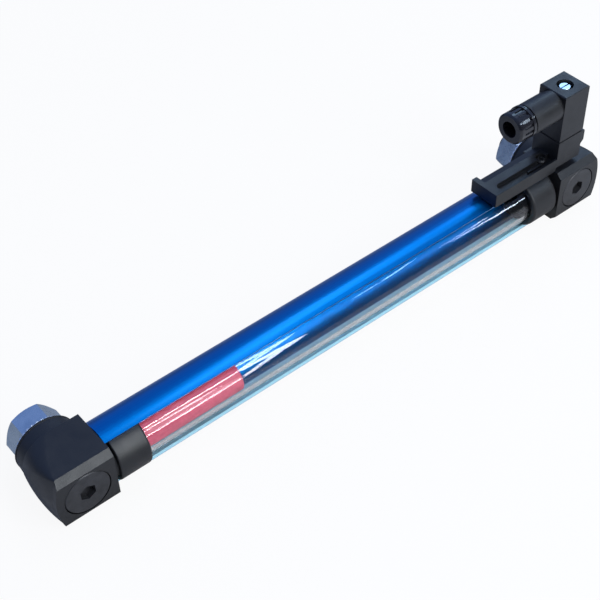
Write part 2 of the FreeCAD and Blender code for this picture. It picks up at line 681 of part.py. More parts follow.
def make_sensor_base():
    """Bar along the channel, with the block that carries the plug at its upper end."""
    base = new_body("sensor_base")
    bar = rectangle(new_sketch(base, "XY", "bar_under"), "-bar_end", "-half_unit", "block_low", "half_unit")
    pad(base, bar, "bar_thickness")
    block = new_sketch(base, "XY", "block_underside")
    rectangle(block, "block_low", "-half_unit", "block_high", "half_unit")
    pad(base, block, "block_top - block_underside")
    lip = outline(new_sketch(base, "XZ"), [
        (f"block_high - {MARGIN}", "block_top - lip_height - lip_reach"),
        ("block_high", "block_top - lip_height - lip_reach"),
        ("block_high + lip_reach", "block_top - lip_height"),
        ("block_high + lip_reach", "block_top - lip_edge"),
        ("block_high + lip_reach - lip_edge", "block_top"),
        (f"block_high - {MARGIN}", "block_top"),
    ])
    pad(base, lip, "unit_width", both_ways=True)

    slope = outline(new_sketch(base, "YZ", "-bar_end + bar_cap"), [
        ("bar_slope_start", "bar_top"),
        ("half_unit - bar_back_step", "bar_top - bar_slope_drop"),
        ("half_unit - bar_back_step", f"bar_under - {MARGIN}"),
        (f"half_unit + {MARGIN}", f"bar_under - {MARGIN}"),
        (f"half_unit + {MARGIN}", f"bar_top + {MARGIN}"),
        ("bar_slope_start", f"bar_top + {MARGIN}"),
    ])
    pocket(base, slope, "bar_end + block_low - bar_cap", backwards=True)

    front = "(-half_unit + recess_rim)"
    radius = "(half_unit - recess_rim - recess_inner) / 2"
    recess = outline(new_sketch(base, "XY", "bar_top"), [
        ("block_low", front),
        ("block_low", "-recess_inner"),
        (f"-bar_end + recess_start + {radius}", "-recess_inner", radius),
        ("-bar_end + recess_start", f"-recess_inner - {radius}", radius),
        (f"-bar_end + recess_start + {radius}", front),
    ])
    pocket(base, recess, "recess_depth")
    rib = new_sketch(base, "XY", "recess_floor")
    rib_middle = "(-(half_unit - recess_rim + recess_inner) / 2)"
    rectangle(
        rib,
        "-rib_place - base_screw_head_radius - rib_length", f"{rib_middle} - rib_width / 2",
        "-rib_place - base_screw_head_radius - rib_width", f"{rib_middle} + rib_width / 2",
    )
    pad(base, rib, "rib_height")

    well = new_sketch(base, "XY", "bar_top")
    well_radius = "base_screw_head_radius + 2 * screw_clearance"
    circle(well, "-base_screw_place", "-base_screw_offset", well_radius)
    pocket(base, well, "recess_depth")
    hole = new_sketch(base, "XY", "bar_top")
    circle(hole, "-base_screw_place", "-base_screw_offset", "base_screw_radius + screw_clearance")
    pocket(base, hole)

    resin = new_sketch(base, "XY", "pocket_top")
    rectangle(resin, "-pocket_end", "pocket_start", "-unit_place", "pocket_start + pocket_width")
    pocket(base, resin)
    slots = blade_outlines(new_sketch(base, "XY", "block_top"), "fit_clearance")
    pocket(base, slots, "block_top - pocket_top")
    thread = new_sketch(base, "XY", "block_top")
    circle(thread, "-unit_place", "0", "plug_screw_radius + fit_clearance")
    pocket(base, thread, "plug_screw_grip + fit_clearance")
    place(base, "unit")


def make_base_screw():
    """The small screw that holds the bar through the channel to the upper collar."""
    grip_end = "collar_radius - base_screw_grip"
    screw = turned_body("base_screw", [
        ("0", grip_end),
        ("base_screw_radius", grip_end),
        ("base_screw_radius", "recess_floor"),
        ("base_screw_head_radius", "recess_floor"),
        ("base_screw_head_radius", "recess_floor + base_screw_head / 2"),
        ("base_screw_head_radius - base_screw_head / 2", "recess_floor + base_screw_head"),
        ("0", "recess_floor + base_screw_head"),
    ])
    for plane in ("XZ", "YZ"):
        slot = new_sketch(screw, plane)
        top = "recess_floor + base_screw_head"
        rectangle(slot, "-slot_width / 2", f"{top} - slot_depth", "slot_width / 2", f"{top} + {MARGIN}")
        pocket(screw, slot, "base_screw_head_radius * 1.2", both_ways=True)
    place(screw, "unit")
    bind(screw, ".Placement.Base.z", "stud_spacing - base_screw_place")
    bind(screw, ".Placement.Base.y", "tube_y - base_screw_offset")


def make_contact():
    """The glass contact, its two wires and the resin around them, in the bar's pocket."""
    reed = doc.addObject("Part::Cylinder", "reed_switch")
    reed.Label = "reed_switch"
    bind(reed, "Radius", "reed_radius")
    bind(reed, "Height", "reed_length")
    reed_end = "stud_spacing - reed_place - reed_length"
    set_along_tube(reed, "-reed_height", "tube_y + pocket_middle", reed_end)
    PARTS.append(reed)

    upper = doc.addObject("Part::Cylinder", "upper_lead")
    bind(upper, "Radius", "lead_radius")
    bind(upper, "Height", "reed_place - unit_place - blade_spacing / 2")
    set_along_tube(upper, "-reed_height", "tube_y + pocket_middle", "stud_spacing - reed_place")
    lower = doc.addObject("Part::Cylinder", "lower_lead")
    bind(lower, "Radius", "lead_radius")
    bind(lower, "Height", "pocket_end - reed_place - reed_length - blade_thickness")
    lead_end = "stud_spacing - pocket_end + blade_thickness"
    set_along_tube(lower, "-reed_height", "tube_y + pocket_middle", lead_end)
    leads = doc.addObject("Part::Compound", "reed_leads")
    leads.Label = "reed_leads"
    leads.Links = [upper, lower]
    PARTS.append(leads)

    resin = doc.addObject("Part::Box", "resin_block")
    bind(resin, "Length", "pocket_height")
    bind(resin, "Width", "pocket_width")
    bind(resin, "Height", "pocket_end - unit_place")
    bind(resin, ".Placement.Base.x", "-pocket_top")
    bind(resin, ".Placement.Base.y", "tube_y + pocket_start")
    bind(resin, ".Placement.Base.z", "stud_spacing - pocket_end")
    over_head = doc.addObject("Part::Box", "room_over_head")
    bind(over_head, "Length", "block_underside - bar_under")
    bind(over_head, "Width", "pocket_width")
    bind(over_head, "Height", "-block_low - unit_place")
    bind(over_head, ".Placement.Base.x", "-block_underside")
    bind(over_head, ".Placement.Base.y", "tube_y + pocket_start")
    bind(over_head, ".Placement.Base.z", "stud_spacing + block_low")
    held = doc.addObject("Part::MultiFuse", "held_in_resin")
    held.Shapes = [reed, upper, lower, over_head]
    potting = doc.addObject("Part::Cut", "sensor_potting")
    potting.Label = "sensor_potting"
    potting.Base = resin
    potting.Tool = held
    PARTS.append(potting)


def set_along_tube(thing, x, y, z):
    bind(thing, ".Placement.Base.x", x)
    bind(thing, ".Placement.Base.y", y)
    bind(thing, ".Placement.Base.z", z)


def make_blades():
    blades = doc.addObject("Part::Compound", "contact_blades")
    blades.Label = "contact_blades"
    links = []
    for index, (x, y, length, width) in enumerate(BLADES):
        blade = doc.addObject("Part::Box", f"blade_{index}")
        bind(blade, "Length", "block_top + blade_reach - pocket_top - fit_clearance")
        bind(blade, "Width", width)
        bind(blade, "Height", length)
        set_along_tube(
            blade, "-(block_top + blade_reach)", f"tube_y + ({y}) - {width} / 2",
            f"stud_spacing + ({x}) - {length} / 2",
        )
        links.append(blade)
    blades.Links = links
    PARTS.append(blades)


def square(sketch, half):
    """A square around the plug's middle."""
    return rectangle(sketch, f"-unit_place - ({half})", f"-({half})", f"-unit_place + ({half})", half)


def make_plug_seal():
    seal = new_body("connector_gasket")
    frame = square(new_sketch(seal, "XY", "block_top"), "half_unit - plug_seal_inset")
    square(frame, "cavity_half")
    pad(seal, frame, "plug_seal_thickness")
    place(seal, "unit")


def make_housing():
    """The plug's housing: a hollow square block with a round neck for the cable."""
    housing = new_body("connector_housing")
    block = pad(housing, square(new_sketch(housing, "XY", "plug_base"), "half_unit"), "plug_top - plug_base")
    doc.recompute()
    bevel = housing.newObject("PartDesign::Chamfer", "connector_housing_bevel")
    top = max(range(6), key=lambda i: block.Shape.Faces[i].CenterOfMass.z)
    bevel.Base = (block, [f"Face{top + 1}"])
    bind(bevel, "Size", "plug_edge")

    neck = circle(new_sketch(housing, "YZ", "block_low"), "0", "neck_height", "spigot_of_plug_radius")
    pad(housing, neck, "neck_reach", backwards=True)
    cavity = square(new_sketch(housing, "XY", "plug_base"), "cavity_half")
    pocket(housing, cavity, "plug_top - plug_roof - plug_base", backwards=True)
    way = circle(new_sketch(housing, "YZ", "neck_end"), "0", "neck_height", "wire_way_radius")
    pocket(housing, way, "neck_reach + plug_wall + plug_wall", backwards=True)
    bore = circle(new_sketch(housing, "YZ", "neck_end"), "0", "neck_height", "gland_bore_radius")
    pocket(housing, bore, "gland_bore_depth", backwards=True)
    well = circle(new_sketch(housing, "XY", "plug_top"), "-unit_place", "0", "screw_well_radius")
    pocket(housing, well, "screw_well_depth")
    hole = new_sketch(housing, "XY", "plug_top")
    circle(hole, "-unit_place", "0", "plug_screw_radius + screw_clearance")
    pocket(housing, hole, "plug_roof")
    place(housing, "unit")


def make_plug_screw():
    seat = "plug_top - screw_well_depth"
    screw = turned_body("connector_screw", [
        ("0", "block_top - plug_screw_grip"),
        ("plug_screw_radius", "block_top - plug_screw_grip"),
        ("plug_screw_radius", seat),
        ("plug_screw_head_radius", seat),
        ("plug_screw_head_radius", f"{seat} + plug_screw_head * 0.7"),
        ("plug_screw_head_radius - plug_screw_head * 0.3", f"{seat} + plug_screw_head"),
        ("0", f"{seat} + plug_screw_head"),
    ])
    top = f"{seat} + plug_screw_head"
    slot = new_sketch(screw, "YZ")
    rectangle(slot, "-slot_width / 2", f"{top} - slot_depth", "slot_width / 2", f"{top} + {MARGIN}")
    pocket(screw, slot, both_ways=True)
    place(screw, "unit")
    bind(screw, ".Placement.Base.z", "stud_spacing - unit_place")


def make_terminals():
    """The insulating insert in the plug, with its blade slots, and its wire screws."""
    insert = new_body("terminal_insert")
    pad(insert, square(new_sketch(insert, "XY", "plug_base"), "insert_half"), "insert_height")
    slots = blade_outlines(new_sketch(insert, "XY", "plug_base"), "fit_clearance")
    pocket(insert, slots, "blade_reach - plug_seal_thickness + 2 * fit_clearance", backwards=True)
    middle = new_sketch(insert, "XY", "plug_base")
    circle(middle, "-unit_place", "0", "plug_screw_radius + screw_clearance")
    pocket(insert, middle, backwards=True)
    holes = new_sketch(insert, "XY", "insert_top")
    for sign in ("-", "+"):
        x = f"-unit_place {sign} terminal_place"
        circle(holes, x, "-terminal_place", "terminal_screw_radius + fit_clearance")
    pocket(insert, holes, "terminal_screw_length + fit_clearance")
    place(insert, "unit")

    screws = []
    for sign in ("-", "+"):
        shank = doc.addObject("Part::Cylinder", "terminal_shank")
        bind(shank, "Radius", "terminal_screw_radius")
        bind(shank, "Height", "terminal_screw_length + terminal_head / 2")
        head = doc.addObject("Part::Cylinder", "terminal_head")
        bind(head, "Radius", "terminal_head_radius")
        bind(head, "Height", "terminal_head")
        for piece, x in ((shank, "-insert_top - terminal_head / 2"), (head, "-insert_top - terminal_head")):
            piece.Placement = FreeCAD.Placement(FreeCAD.Vector(), FreeCAD.Rotation(ABOUT_Y, 90))
            z = f"stud_spacing - unit_place {sign} terminal_place"
            set_along_tube(piece, x, "tube_y - terminal_place", z)
        screw = doc.addObject("Part::Fuse", "terminal_screw")
        screw.Base = head
        screw.Tool = shank
        screws.append(screw)
    group = doc.addObject("Part::Compound", "terminal_screws")
    group.Label = "terminal_screws"
    group.Links = screws
    PARTS.append(group)


# The gland's pieces are turned about the neck's axis. Their Z runs up the tube, from the block's side.
def place_in_neck(piece):
    place(piece, "lower_tube")
    bind(piece, ".Placement.Base.x", "-neck_height")
    bind(piece, ".Placement.Base.z", "stud_spacing")


def make_gland():
    """Cable seal, washer and fluted gland nut, in and on the plug's neck."""
    sleeve = "gland_bore_radius - fit_clearance"
    seal_low = "shoulder - cable_seal_length"
    seal = ring_body("gland_seal", "cable_radius", sleeve, seal_low, "shoulder", "seal_edge")
    place_in_neck(seal)
    washer_low = "shoulder - cable_seal_length - gland_washer_thickness"
    washer = ring_body("gland_washer", "wire_way_radius", sleeve, washer_low, seal_low)
    place_in_neck(washer)

    seat = "neck_end - gland_gap"
    tip = "neck_end - gland_gap - gland_length"
    nut = turned_body("gland_nut", [
        ("gland_hole_radius", tip),
        ("gland_radius - gland_edge", tip),
        ("gland_radius", f"{tip} + gland_edge"),
        ("gland_radius", f"{seat} - gland_flange"),
        ("gland_flange_radius", f"{seat} - gland_flange"),
        ("gland_flange_radius", seat),
        (sleeve, seat),
        (sleeve, f"{seat} + gland_spigot_length"),
        ("gland_hole_radius", f"{seat} + gland_spigot_length"),
    ])
    flute = new_sketch(nut, "XY", f"{tip} + gland_end")
    rectangle(
        flute, "gland_radius - flute_depth", "-flute_width / 2", f"gland_radius + {MARGIN}", "flute_width / 2"
    )
    cut = pocket(nut, flute, "gland_length - gland_end - gland_flange", backwards=True)
    flutes = nut.newObject("PartDesign::PolarPattern", "gland_nut_flutes")
    flutes.Originals = [cut]
    flutes.Axis = (flute, ["N_Axis"])
    flutes.Angle = 360
    bind(flutes, "Occurrences", "flute_count")
    nut.Tip = flutes
    place_in_neck(nut)


for end in ("lower", "upper"):
    make_head(end)
    make_bolt(end)
    make_clamp(end)
    make_collar(end)
    make_tube_rings(end)
make_tube()
make_shield()
make_float()
make_sensor_base()
make_base_screw()
make_contact()
make_blades()
make_plug_seal()
make_housing()
make_plug_screw()
make_terminals()
make_gland()
doc.recompute()

for thing in doc.Objects:
    assert not {"Invalid", "Error"} & set(thing.State), thing.Name
    if thing.TypeId in ("PartDesign::Pocket", "PartDesign::Groove"):
        assert thing.Shape.Volume < thing.BaseFeature.Shape.Volume, thing.Name + " cuts nothing"
for piece in PARTS:
    assert not piece.Shape.isNull() and piece.Shape.isValid(), piece.Label

os.makedirs("parts", exist_ok=True)
for piece in PARTS:
    piece.Shape.exportStep(f"parts/{piece.Label}.step")
    solids = piece.Shape.Solids
    print(f"{piece.Label}: {len(solids)} solid, {piece.Shape.Volume:.1f} cubic mm")
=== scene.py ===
# %% [markdown]
# # A tube level gauge, dressed for its picture
# The gauge shows how full a tank is. Oil stands in a clear tube between two black heads, and a red
# float rides on it. A blue channel shields the tube, and a small contact unit sits by the upper head.
# The solids come ready made, each in its place. This lesson gives them their finishes, and adds a
# smoother tube, two toothed washers, a floor, light and a camera. Lengths are in metres. X runs from
# the contact unit's side to the other, Y into the tank, and Z up the tube.

import math

import bpy
import numpy as np
from mathutils import Matrix, Vector


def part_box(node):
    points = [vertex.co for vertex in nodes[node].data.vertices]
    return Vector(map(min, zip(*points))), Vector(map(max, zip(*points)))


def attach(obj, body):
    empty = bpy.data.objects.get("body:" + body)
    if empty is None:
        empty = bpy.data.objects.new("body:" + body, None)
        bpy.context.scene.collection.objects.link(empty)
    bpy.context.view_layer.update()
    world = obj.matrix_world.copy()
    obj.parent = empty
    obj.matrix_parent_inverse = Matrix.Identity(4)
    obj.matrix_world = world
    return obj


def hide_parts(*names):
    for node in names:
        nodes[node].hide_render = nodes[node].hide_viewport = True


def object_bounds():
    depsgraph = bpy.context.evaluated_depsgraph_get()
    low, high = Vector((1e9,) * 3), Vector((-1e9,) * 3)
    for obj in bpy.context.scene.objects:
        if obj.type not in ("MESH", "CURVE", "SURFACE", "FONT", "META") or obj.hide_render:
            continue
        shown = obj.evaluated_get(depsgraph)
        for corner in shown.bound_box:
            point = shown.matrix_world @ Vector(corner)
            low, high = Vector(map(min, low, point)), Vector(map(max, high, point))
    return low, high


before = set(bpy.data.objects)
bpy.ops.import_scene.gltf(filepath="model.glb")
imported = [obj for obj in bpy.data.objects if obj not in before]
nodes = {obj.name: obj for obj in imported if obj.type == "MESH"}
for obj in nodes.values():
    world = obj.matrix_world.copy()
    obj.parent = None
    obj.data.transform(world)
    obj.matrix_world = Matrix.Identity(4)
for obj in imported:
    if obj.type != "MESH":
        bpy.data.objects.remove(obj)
cad_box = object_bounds()
print("the CAD model has", len(nodes), "nodes, from", cad_box[0], "to", cad_box[1])

# %% [markdown]
# ## Materials from a few small helpers
# Each finish is one Principled shader. A number that is the same all over goes straight onto the
# shader's own socket, where other programs can read it too, and only what varies gets nodes. These
# helpers save typing: one makes a material, one a node, one a link, and one a blend of two colours.

# %% Helpers for shaders
def finish(name, **values):
    """A Principled material. Each value goes onto the shader's socket of that name."""
    material = bpy.data.materials.new(name)
    material.use_nodes = True
    for socket, value in values.items():
        title = socket.replace("_", " ").title().replace("Ior", "IOR")
        shader_of(material).inputs[title].default_value = value
    return material


def shader_of(material):
    """The material's Principled shader."""
    return material.node_tree.nodes["Principled BSDF"]


def node(owner, kind, **settings):
    """A new shader node of this kind in a material or a world."""
    made = owner.node_tree.nodes.new("ShaderNode" + kind)
    for key, value in settings.items():
        setattr(made, key, value)
    return made


def join(owner, start, end):
    """A link from the output start to the input end."""
    owner.node_tree.links.new(start, end)


MIX_SHARE, MIX_FIRST, MIX_SECOND = 0, 6, 7  # the Mix node also has sockets for numbers and vectors
MIX_RESULT = 2


def blend(owner, share, first, second):
    """A colour that is first at share 0 and second at share 1. Each is a colour or a socket."""
    mix = node(owner, "Mix", data_type="RGBA")
    join(owner, share, mix.inputs[MIX_SHARE])
    for index, colour in ((MIX_FIRST, first), (MIX_SECOND, second)):
        if isinstance(colour, tuple):
            mix.inputs[index].default_value = (*colour, 1)
        else:
            join(owner, colour, mix.inputs[index])
    return mix.outputs[MIX_RESULT]


# %% [markdown]
# ## Patterns in a surface
# What varies over a surface, such as grain, scratches or clouds, comes from noise. An image could hold
# the same marks, but noise that reads the piece's own coordinates needs no unwrapping, has no seams
# and stays in place when the float moves. The same noise can drive colour, gloss and tiny bumps.

# %% Helpers for patterns
NOISE_ROUGHNESS = 0.55


def noise(material, per_metre, stretch=(1, 1, 1), detail=4.0):
    """Noise with this many grains to the metre. A stretch under 1 draws the grains out on that axis."""
    place = node(material, "TexCoord")
    scale = node(material, "Mapping")
    scale.inputs["Scale"].default_value = [per_metre * s for s in stretch]
    made = node(material, "TexNoise")
    made.inputs["Scale"].default_value = 1.0
    made.inputs["Detail"].default_value = detail
    made.inputs["Roughness"].default_value = NOISE_ROUGHNESS
    join(material, place.outputs["Object"], scale.inputs["Vector"])
    join(material, scale.outputs["Vector"], made.inputs["Vector"])
    return made.outputs["Fac"]


def spread(owner, source, low, high, start=0.3, end=0.7):
    """A pattern's values from start to end, mapped to low to high."""
    made = node(owner, "MapRange")
    for key, value in zip(("From Min", "From Max", "To Min", "To Max"), (start, end, low, high)):
        made.inputs[key].default_value = value
    join(owner, source, made.inputs["Value"])
    return made.outputs["Result"]


def tint(material, source, dark, light, start=0.3, end=0.7):
    """The base colour goes from dark to light with the pattern."""
    ramp = node(material, "ValToRGB")
    for element, position, colour in zip(ramp.color_ramp.elements, (start, end), (dark, light)):
        element.position = position
        element.color = (*colour, 1)
    join(material, source, ramp.inputs["Fac"])
    join(material, ramp.outputs["Color"], shader_of(material).inputs["Base Color"])
    return ramp.outputs["Color"]


def gloss(material, source, low, high):
    """The roughness goes from low to high with the pattern."""
    join(material, spread(material, source, low, high), shader_of(material).inputs["Roughness"])


def relief(material, source, height, strength):
    """Bumps of this height in metres."""
    bump = node(material, "Bump")
    bump.inputs["Distance"].default_value = height
    bump.inputs["Strength"].default_value = strength
    join(material, source, bump.inputs["Height"])
    join(material, bump.outputs["Normal"], shader_of(material).inputs["Normal"])


# %% [markdown]
# ## Black moulded plastic
# The heads, the collars and the contact unit are glass-filled nylon. Its surface is nearly black, with
# a fine grain from the mould, and patches that are a little more or less glossy. One even black would
# look like a hole in the picture. So two noises of different size are used: a broad one for the
# patches and a fine one for the grain. The gland nut is moulded smoother, so its finish is glossier.

# %% Black plastic
black_plastic = finish("black_plastic", roughness=0.45, ior=1.58)
patches = noise(black_plastic, 120, detail=5.0)
tint(black_plastic, patches, (0.003, 0.0032, 0.0042), (0.008, 0.0083, 0.01))
gloss(black_plastic, patches, 0.36, 0.5)
relief(black_plastic, noise(black_plastic, 2600, detail=3.0), 0.00006, 0.45)

glossy_plastic = finish("glossy_plastic", roughness=0.2, ior=1.6)
patches = noise(glossy_plastic, 150)
tint(glossy_plastic, patches, (0.009, 0.009, 0.012), (0.015, 0.015, 0.019))
gloss(glossy_plastic, patches, 0.14, 0.24)
relief(glossy_plastic, noise(glossy_plastic, 2200, detail=2.0), 0.00004, 0.3)
print("plastics:", black_plastic.name, glossy_plastic.name)

# %% [markdown]
# ## Black rubber
# The rings behind the heads, and all the hidden seals, are matt black rubber. Modelled grains would
# cost many faces for rings this small. Rubber mirrors almost nothing, so a high roughness, fine bumps
# and a trace of dust in the colour are enough.

# %% Black rubber
black_rubber = finish("black_rubber", roughness=0.7)
tint(black_rubber, noise(black_rubber, 400), (0.009, 0.009, 0.01), (0.02, 0.02, 0.021))
relief(black_rubber, noise(black_rubber, 1800), 0.00005, 0.5)
print("rubber:", black_rubber.name)

# %% [markdown]
# ## Turned black steel
# The bolts are steel with a black finish, turned on a lathe, so very fine rings run around their axis.
# A wave texture could draw rings, but too evenly. Here a noise in one dimension reads the distance
# from the bolt's axis, so that each ring is a little different. The small screw on the contact unit
# is a dark screw whose colour is made near black, darker than the bolts, with painted shade for the
# recess that it sits in. It is only given a fine grain.

# %% Black steel
def middle_of(name):
    """The middle of a node's box."""
    low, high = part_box(name)
    return (low + high) / 2


BOLT_SPACING = middle_of("upper_bolt").z - middle_of("lower_bolt").z
RINGS_PER_METRE = 3500.0

black_steel = finish("black_steel", roughness=0.42, metallic=0.6)
turned = noise(black_steel, 260, stretch=(1, 4, 1), detail=3.0)
tint(black_steel, turned, (0.045, 0.045, 0.047), (0.072, 0.072, 0.077))
gloss(black_steel, turned, 0.32, 0.46)

steel_place = node(black_steel, "TexCoord")
steel_parts = node(black_steel, "SeparateXYZ")
one_bolt = node(black_steel, "Math", operation="WRAP")  # Z starts again halfway between the bolts
one_bolt.inputs[1].default_value = BOLT_SPACING / 2
one_bolt.inputs[2].default_value = -BOLT_SPACING / 2
across = node(black_steel, "CombineXYZ")
from_bolt = node(black_steel, "VectorMath", operation="LENGTH")
rings = node(black_steel, "TexNoise", noise_dimensions="1D")
rings.inputs["Scale"].default_value = RINGS_PER_METRE
rings.inputs["Detail"].default_value = 2.0
join(black_steel, steel_place.outputs["Object"], steel_parts.inputs[0])
join(black_steel, steel_parts.outputs["Z"], one_bolt.inputs[0])
join(black_steel, steel_parts.outputs["X"], across.inputs["X"])
join(black_steel, one_bolt.outputs[0], across.inputs["Z"])
join(black_steel, across.outputs[0], from_bolt.inputs[0])
join(black_steel, from_bolt.outputs["Value"], rings.inputs["W"])
relief(black_steel, rings.outputs["Fac"], 0.00004, 0.5)

# Near black, darker than the bolts: a dark screw with painted shade for its shaded recess.
shaded_black_screw = finish("shaded_black_screw", base_color=(0.012, 0.012, 0.014, 1), roughness=0.55, metallic=0.2)
relief(shaded_black_screw, noise(shaded_black_screw, 2500, detail=2.0), 0.00003, 0.3)
print("black metals:", black_steel.name, shaded_black_screw.name)
print("the bolts are", round(BOLT_SPACING, 4), "m apart")

# %% [markdown]
# ## Zinc plate
# The nuts and the plug's screw are zinc plated, with a blue tone and slight clouds where the plate is
# thicker. The washers are fresher and brighter. A grey paint would stay grey from every side. Both
# are fully metallic instead, so their base colour is the colour that they mirror the room with, and
# noise in colour and roughness makes the clouds.

# %% Zinc
zinc = finish("zinc_plate", roughness=0.26, metallic=1.0)
clouds = noise(zinc, 180, detail=5.0)
tint(zinc, clouds, (0.43, 0.53, 0.63), (0.58, 0.68, 0.77))
gloss(zinc, clouds, 0.2, 0.34)
relief(zinc, noise(zinc, 1500, detail=3.0), 0.00003, 0.25)

bright_zinc = finish("bright_zinc", base_color=(0.86, 0.91, 0.96, 1), roughness=0.3, metallic=1.0)
gloss(bright_zinc, noise(bright_zinc, 900), 0.25, 0.4)
print("zinc:", zinc.name, bright_zinc.name)

# %% [markdown]
# ## Blue anodised channel
# The channel is extruded aluminium, dyed blue. Extruding leaves very fine lines along its length, so
# the noise is drawn out along Z, and the same lines make the gloss streaky. Blue paint would look flat
# and milky. The dye lies in a thin clear layer over bright metal, so the finish is a metal with a blue
# base colour and a faint coat.

# %% Blue anodised aluminium
blue_anodised = finish(
    "blue_anodised", roughness=0.28, metallic=1.0, coat_weight=0.05, coat_roughness=0.12, coat_ior=1.6
)
drawn = noise(blue_anodised, 1400, stretch=(1, 1, 0.004), detail=3.0)
dyed = tint(blue_anodised, drawn, (0.0, 0.16, 0.5), (0.0, 0.195, 0.6), 0.2, 0.8)
gloss(blue_anodised, drawn, 0.27, 0.34)
relief(blue_anodised, drawn, 0.000012, 0.35)
print("channel:", blue_anodised.name)

# %% [markdown]
# ## Masks from where a point is
# Two places on the channel look different: its inner wall, and the lip that it lies on. They could be
# painted by hand, but the section is simple, so the distance from the tube's axis and the place along
# X and Y are enough. A soft step turns each of these into a mask from 0 to 1, and a product or a
# maximum makes one mask from two.

# %% Helpers for masks
TUBE_AXIS = tuple(middle_of("sight_tube").xy)


def soft_step(material, source, start, end):
    """0 before start and 1 past end, with a smooth change between them."""
    step = node(material, "MapRange", interpolation_type="SMOOTHSTEP")
    step.inputs["From Min"].default_value = start
    step.inputs["From Max"].default_value = end
    join(material, source, step.inputs["Value"])
    return step.outputs["Result"]


def combine(material, operation, first, second):
    """One mask from two: MULTIPLY keeps what is in both, and MAXIMUM what is in either."""
    both = node(material, "Math", operation=operation)
    join(material, first, both.inputs[0])
    join(material, second, both.inputs[1])
    return both.outputs[0]


print("the tube's axis is at X", round(TUBE_AXIS[0], 4), "and Y", round(TUBE_AXIS[1], 4))

# %% [markdown]
# ## Places on the channel
# In section the channel is an open ring around the tube. Its inner wall is told by the distance from
# the tube's axis. The lip is where the ring ends, towards the front. Its end face is told by Y, and
# only what is under the outer skin counts, so that the outside keeps its blue.

# %% Places on the channel
CHANNEL_RADIUS = 0.013
CHANNEL_BORE = 0.0117

# The first number of each pair is where its mask is 0, and the second one is where it is 1.
INNER_WALL = (CHANNEL_BORE + 0.0004, CHANNEL_BORE + 0.0001)  # from the tube's axis
UNDER_SKIN = (CHANNEL_RADIUS - 0.00005, CHANNEL_RADIUS - 0.00015)
LIP_START = (0.0003, -0.0012)  # along Y, from the tube's axis
LIP_END = (-0.0046, -0.0048)
RIGHT_HALF = (-0.001, 0.001)  # along X, from the tube's axis

channel_place = node(blue_anodised, "TexCoord")
section = node(blue_anodised, "VectorMath", operation="MULTIPLY_ADD")  # drops Z and moves the axis to 0
section.inputs[1].default_value = (1, 1, 0)
section.inputs[2].default_value = (-TUBE_AXIS[0], -TUBE_AXIS[1], 0)
from_tube = node(blue_anodised, "VectorMath", operation="LENGTH")
section_parts = node(blue_anodised, "SeparateXYZ")
join(blue_anodised, channel_place.outputs["Object"], section.inputs[0])
join(blue_anodised, section.outputs[0], from_tube.inputs[0])
join(blue_anodised, section.outputs[0], section_parts.inputs[0])

inner_wall = soft_step(blue_anodised, from_tube.outputs["Value"], *INNER_WALL)
under_skin = soft_step(blue_anodised, from_tube.outputs["Value"], *UNDER_SKIN)
in_front = soft_step(blue_anodised, section_parts.outputs["Y"], *LIP_START)
at_the_end = soft_step(blue_anodised, section_parts.outputs["Y"], *LIP_END)
on_the_right = soft_step(blue_anodised, section_parts.outputs["X"], *RIGHT_HALF)
print("five masks around a bore of", round(CHANNEL_BORE * 1000, 1), "mm radius")

# %% [markdown]
# ## Painted shade on the inner wall and a painted highlight on the lip
# The channel's inner wall looks duller than its outside, and is given a darker blue. The dye is the
# same inside, so this darker blue is painted shade. The right lip, on which the gauge lies, is given a
# pale blue and less metal, so that it looks paler and less of a mirror, which is a painted highlight.
# A second material would need its own faces, so the masks change the colour and the metallic value of
# this one instead.

# %% Inner wall and lip
# A darker blue on the inner wall, which is painted shade.
INNER_SHADE_BLUE = (0.0, 0.125, 0.4)
# A pale blue and less metal on the right lip, which is a painted highlight.
LIP_HIGHLIGHT_BLUE = (0.48, 0.84, 0.97)
LIP_HIGHLIGHT_METALLIC = 0.3

lip_inside = combine(blue_anodised, "MULTIPLY", inner_wall, in_front)
lip_end = combine(blue_anodised, "MULTIPLY", under_skin, at_the_end)
lips = combine(blue_anodised, "MAXIMUM", lip_inside, lip_end)
lip_highlight = combine(blue_anodised, "MULTIPLY", lips, on_the_right)

# Painted shade on the inner wall first, then the painted highlight on the right lip.
inner_shade = blend(blue_anodised, inner_wall, dyed, INNER_SHADE_BLUE)
with_lip_highlight = blend(blue_anodised, lip_highlight, inner_shade, LIP_HIGHLIGHT_BLUE)
less_metal = spread(blue_anodised, lip_highlight, 1.0, LIP_HIGHLIGHT_METALLIC, 0.0, 1.0)
join(blue_anodised, with_lip_highlight, shader_of(blue_anodised).inputs["Base Color"])
join(blue_anodised, less_metal, shader_of(blue_anodised).inputs["Metallic"])
print("the channel's shader has", len(blue_anodised.node_tree.nodes), "nodes")

# %% [markdown]
# ## Clear tube
# The tube is clear acrylic. A see-through shader without refraction would be quicker, but the real
# index of refraction bends the view of the float and mirrors the lamps in long streaks, as the real
# tube does. Refraction stops a lamp's direct light, so for shadows a nearly clear shader takes over.

# %% Clear acrylic
clear_acrylic = finish(
    "clear_acrylic", base_color=(0.97, 0.985, 0.99, 1), roughness=0.0, ior=1.49, transmission_weight=1.0
)
let_through = node(clear_acrylic, "BsdfTransparent")
let_through.inputs["Color"].default_value = (0.93, 0.95, 0.96, 1)
ray = node(clear_acrylic, "LightPath")
either = node(clear_acrylic, "MixShader")
join(clear_acrylic, ray.outputs["Is Shadow Ray"], either.inputs["Fac"])
join(clear_acrylic, shader_of(clear_acrylic).outputs[0], either.inputs[1])
join(clear_acrylic, let_through.outputs[0], either.inputs[2])
join(clear_acrylic, either.outputs[0], clear_acrylic.node_tree.nodes["Material Output"].inputs["Surface"])
print("tube:", clear_acrylic.name)

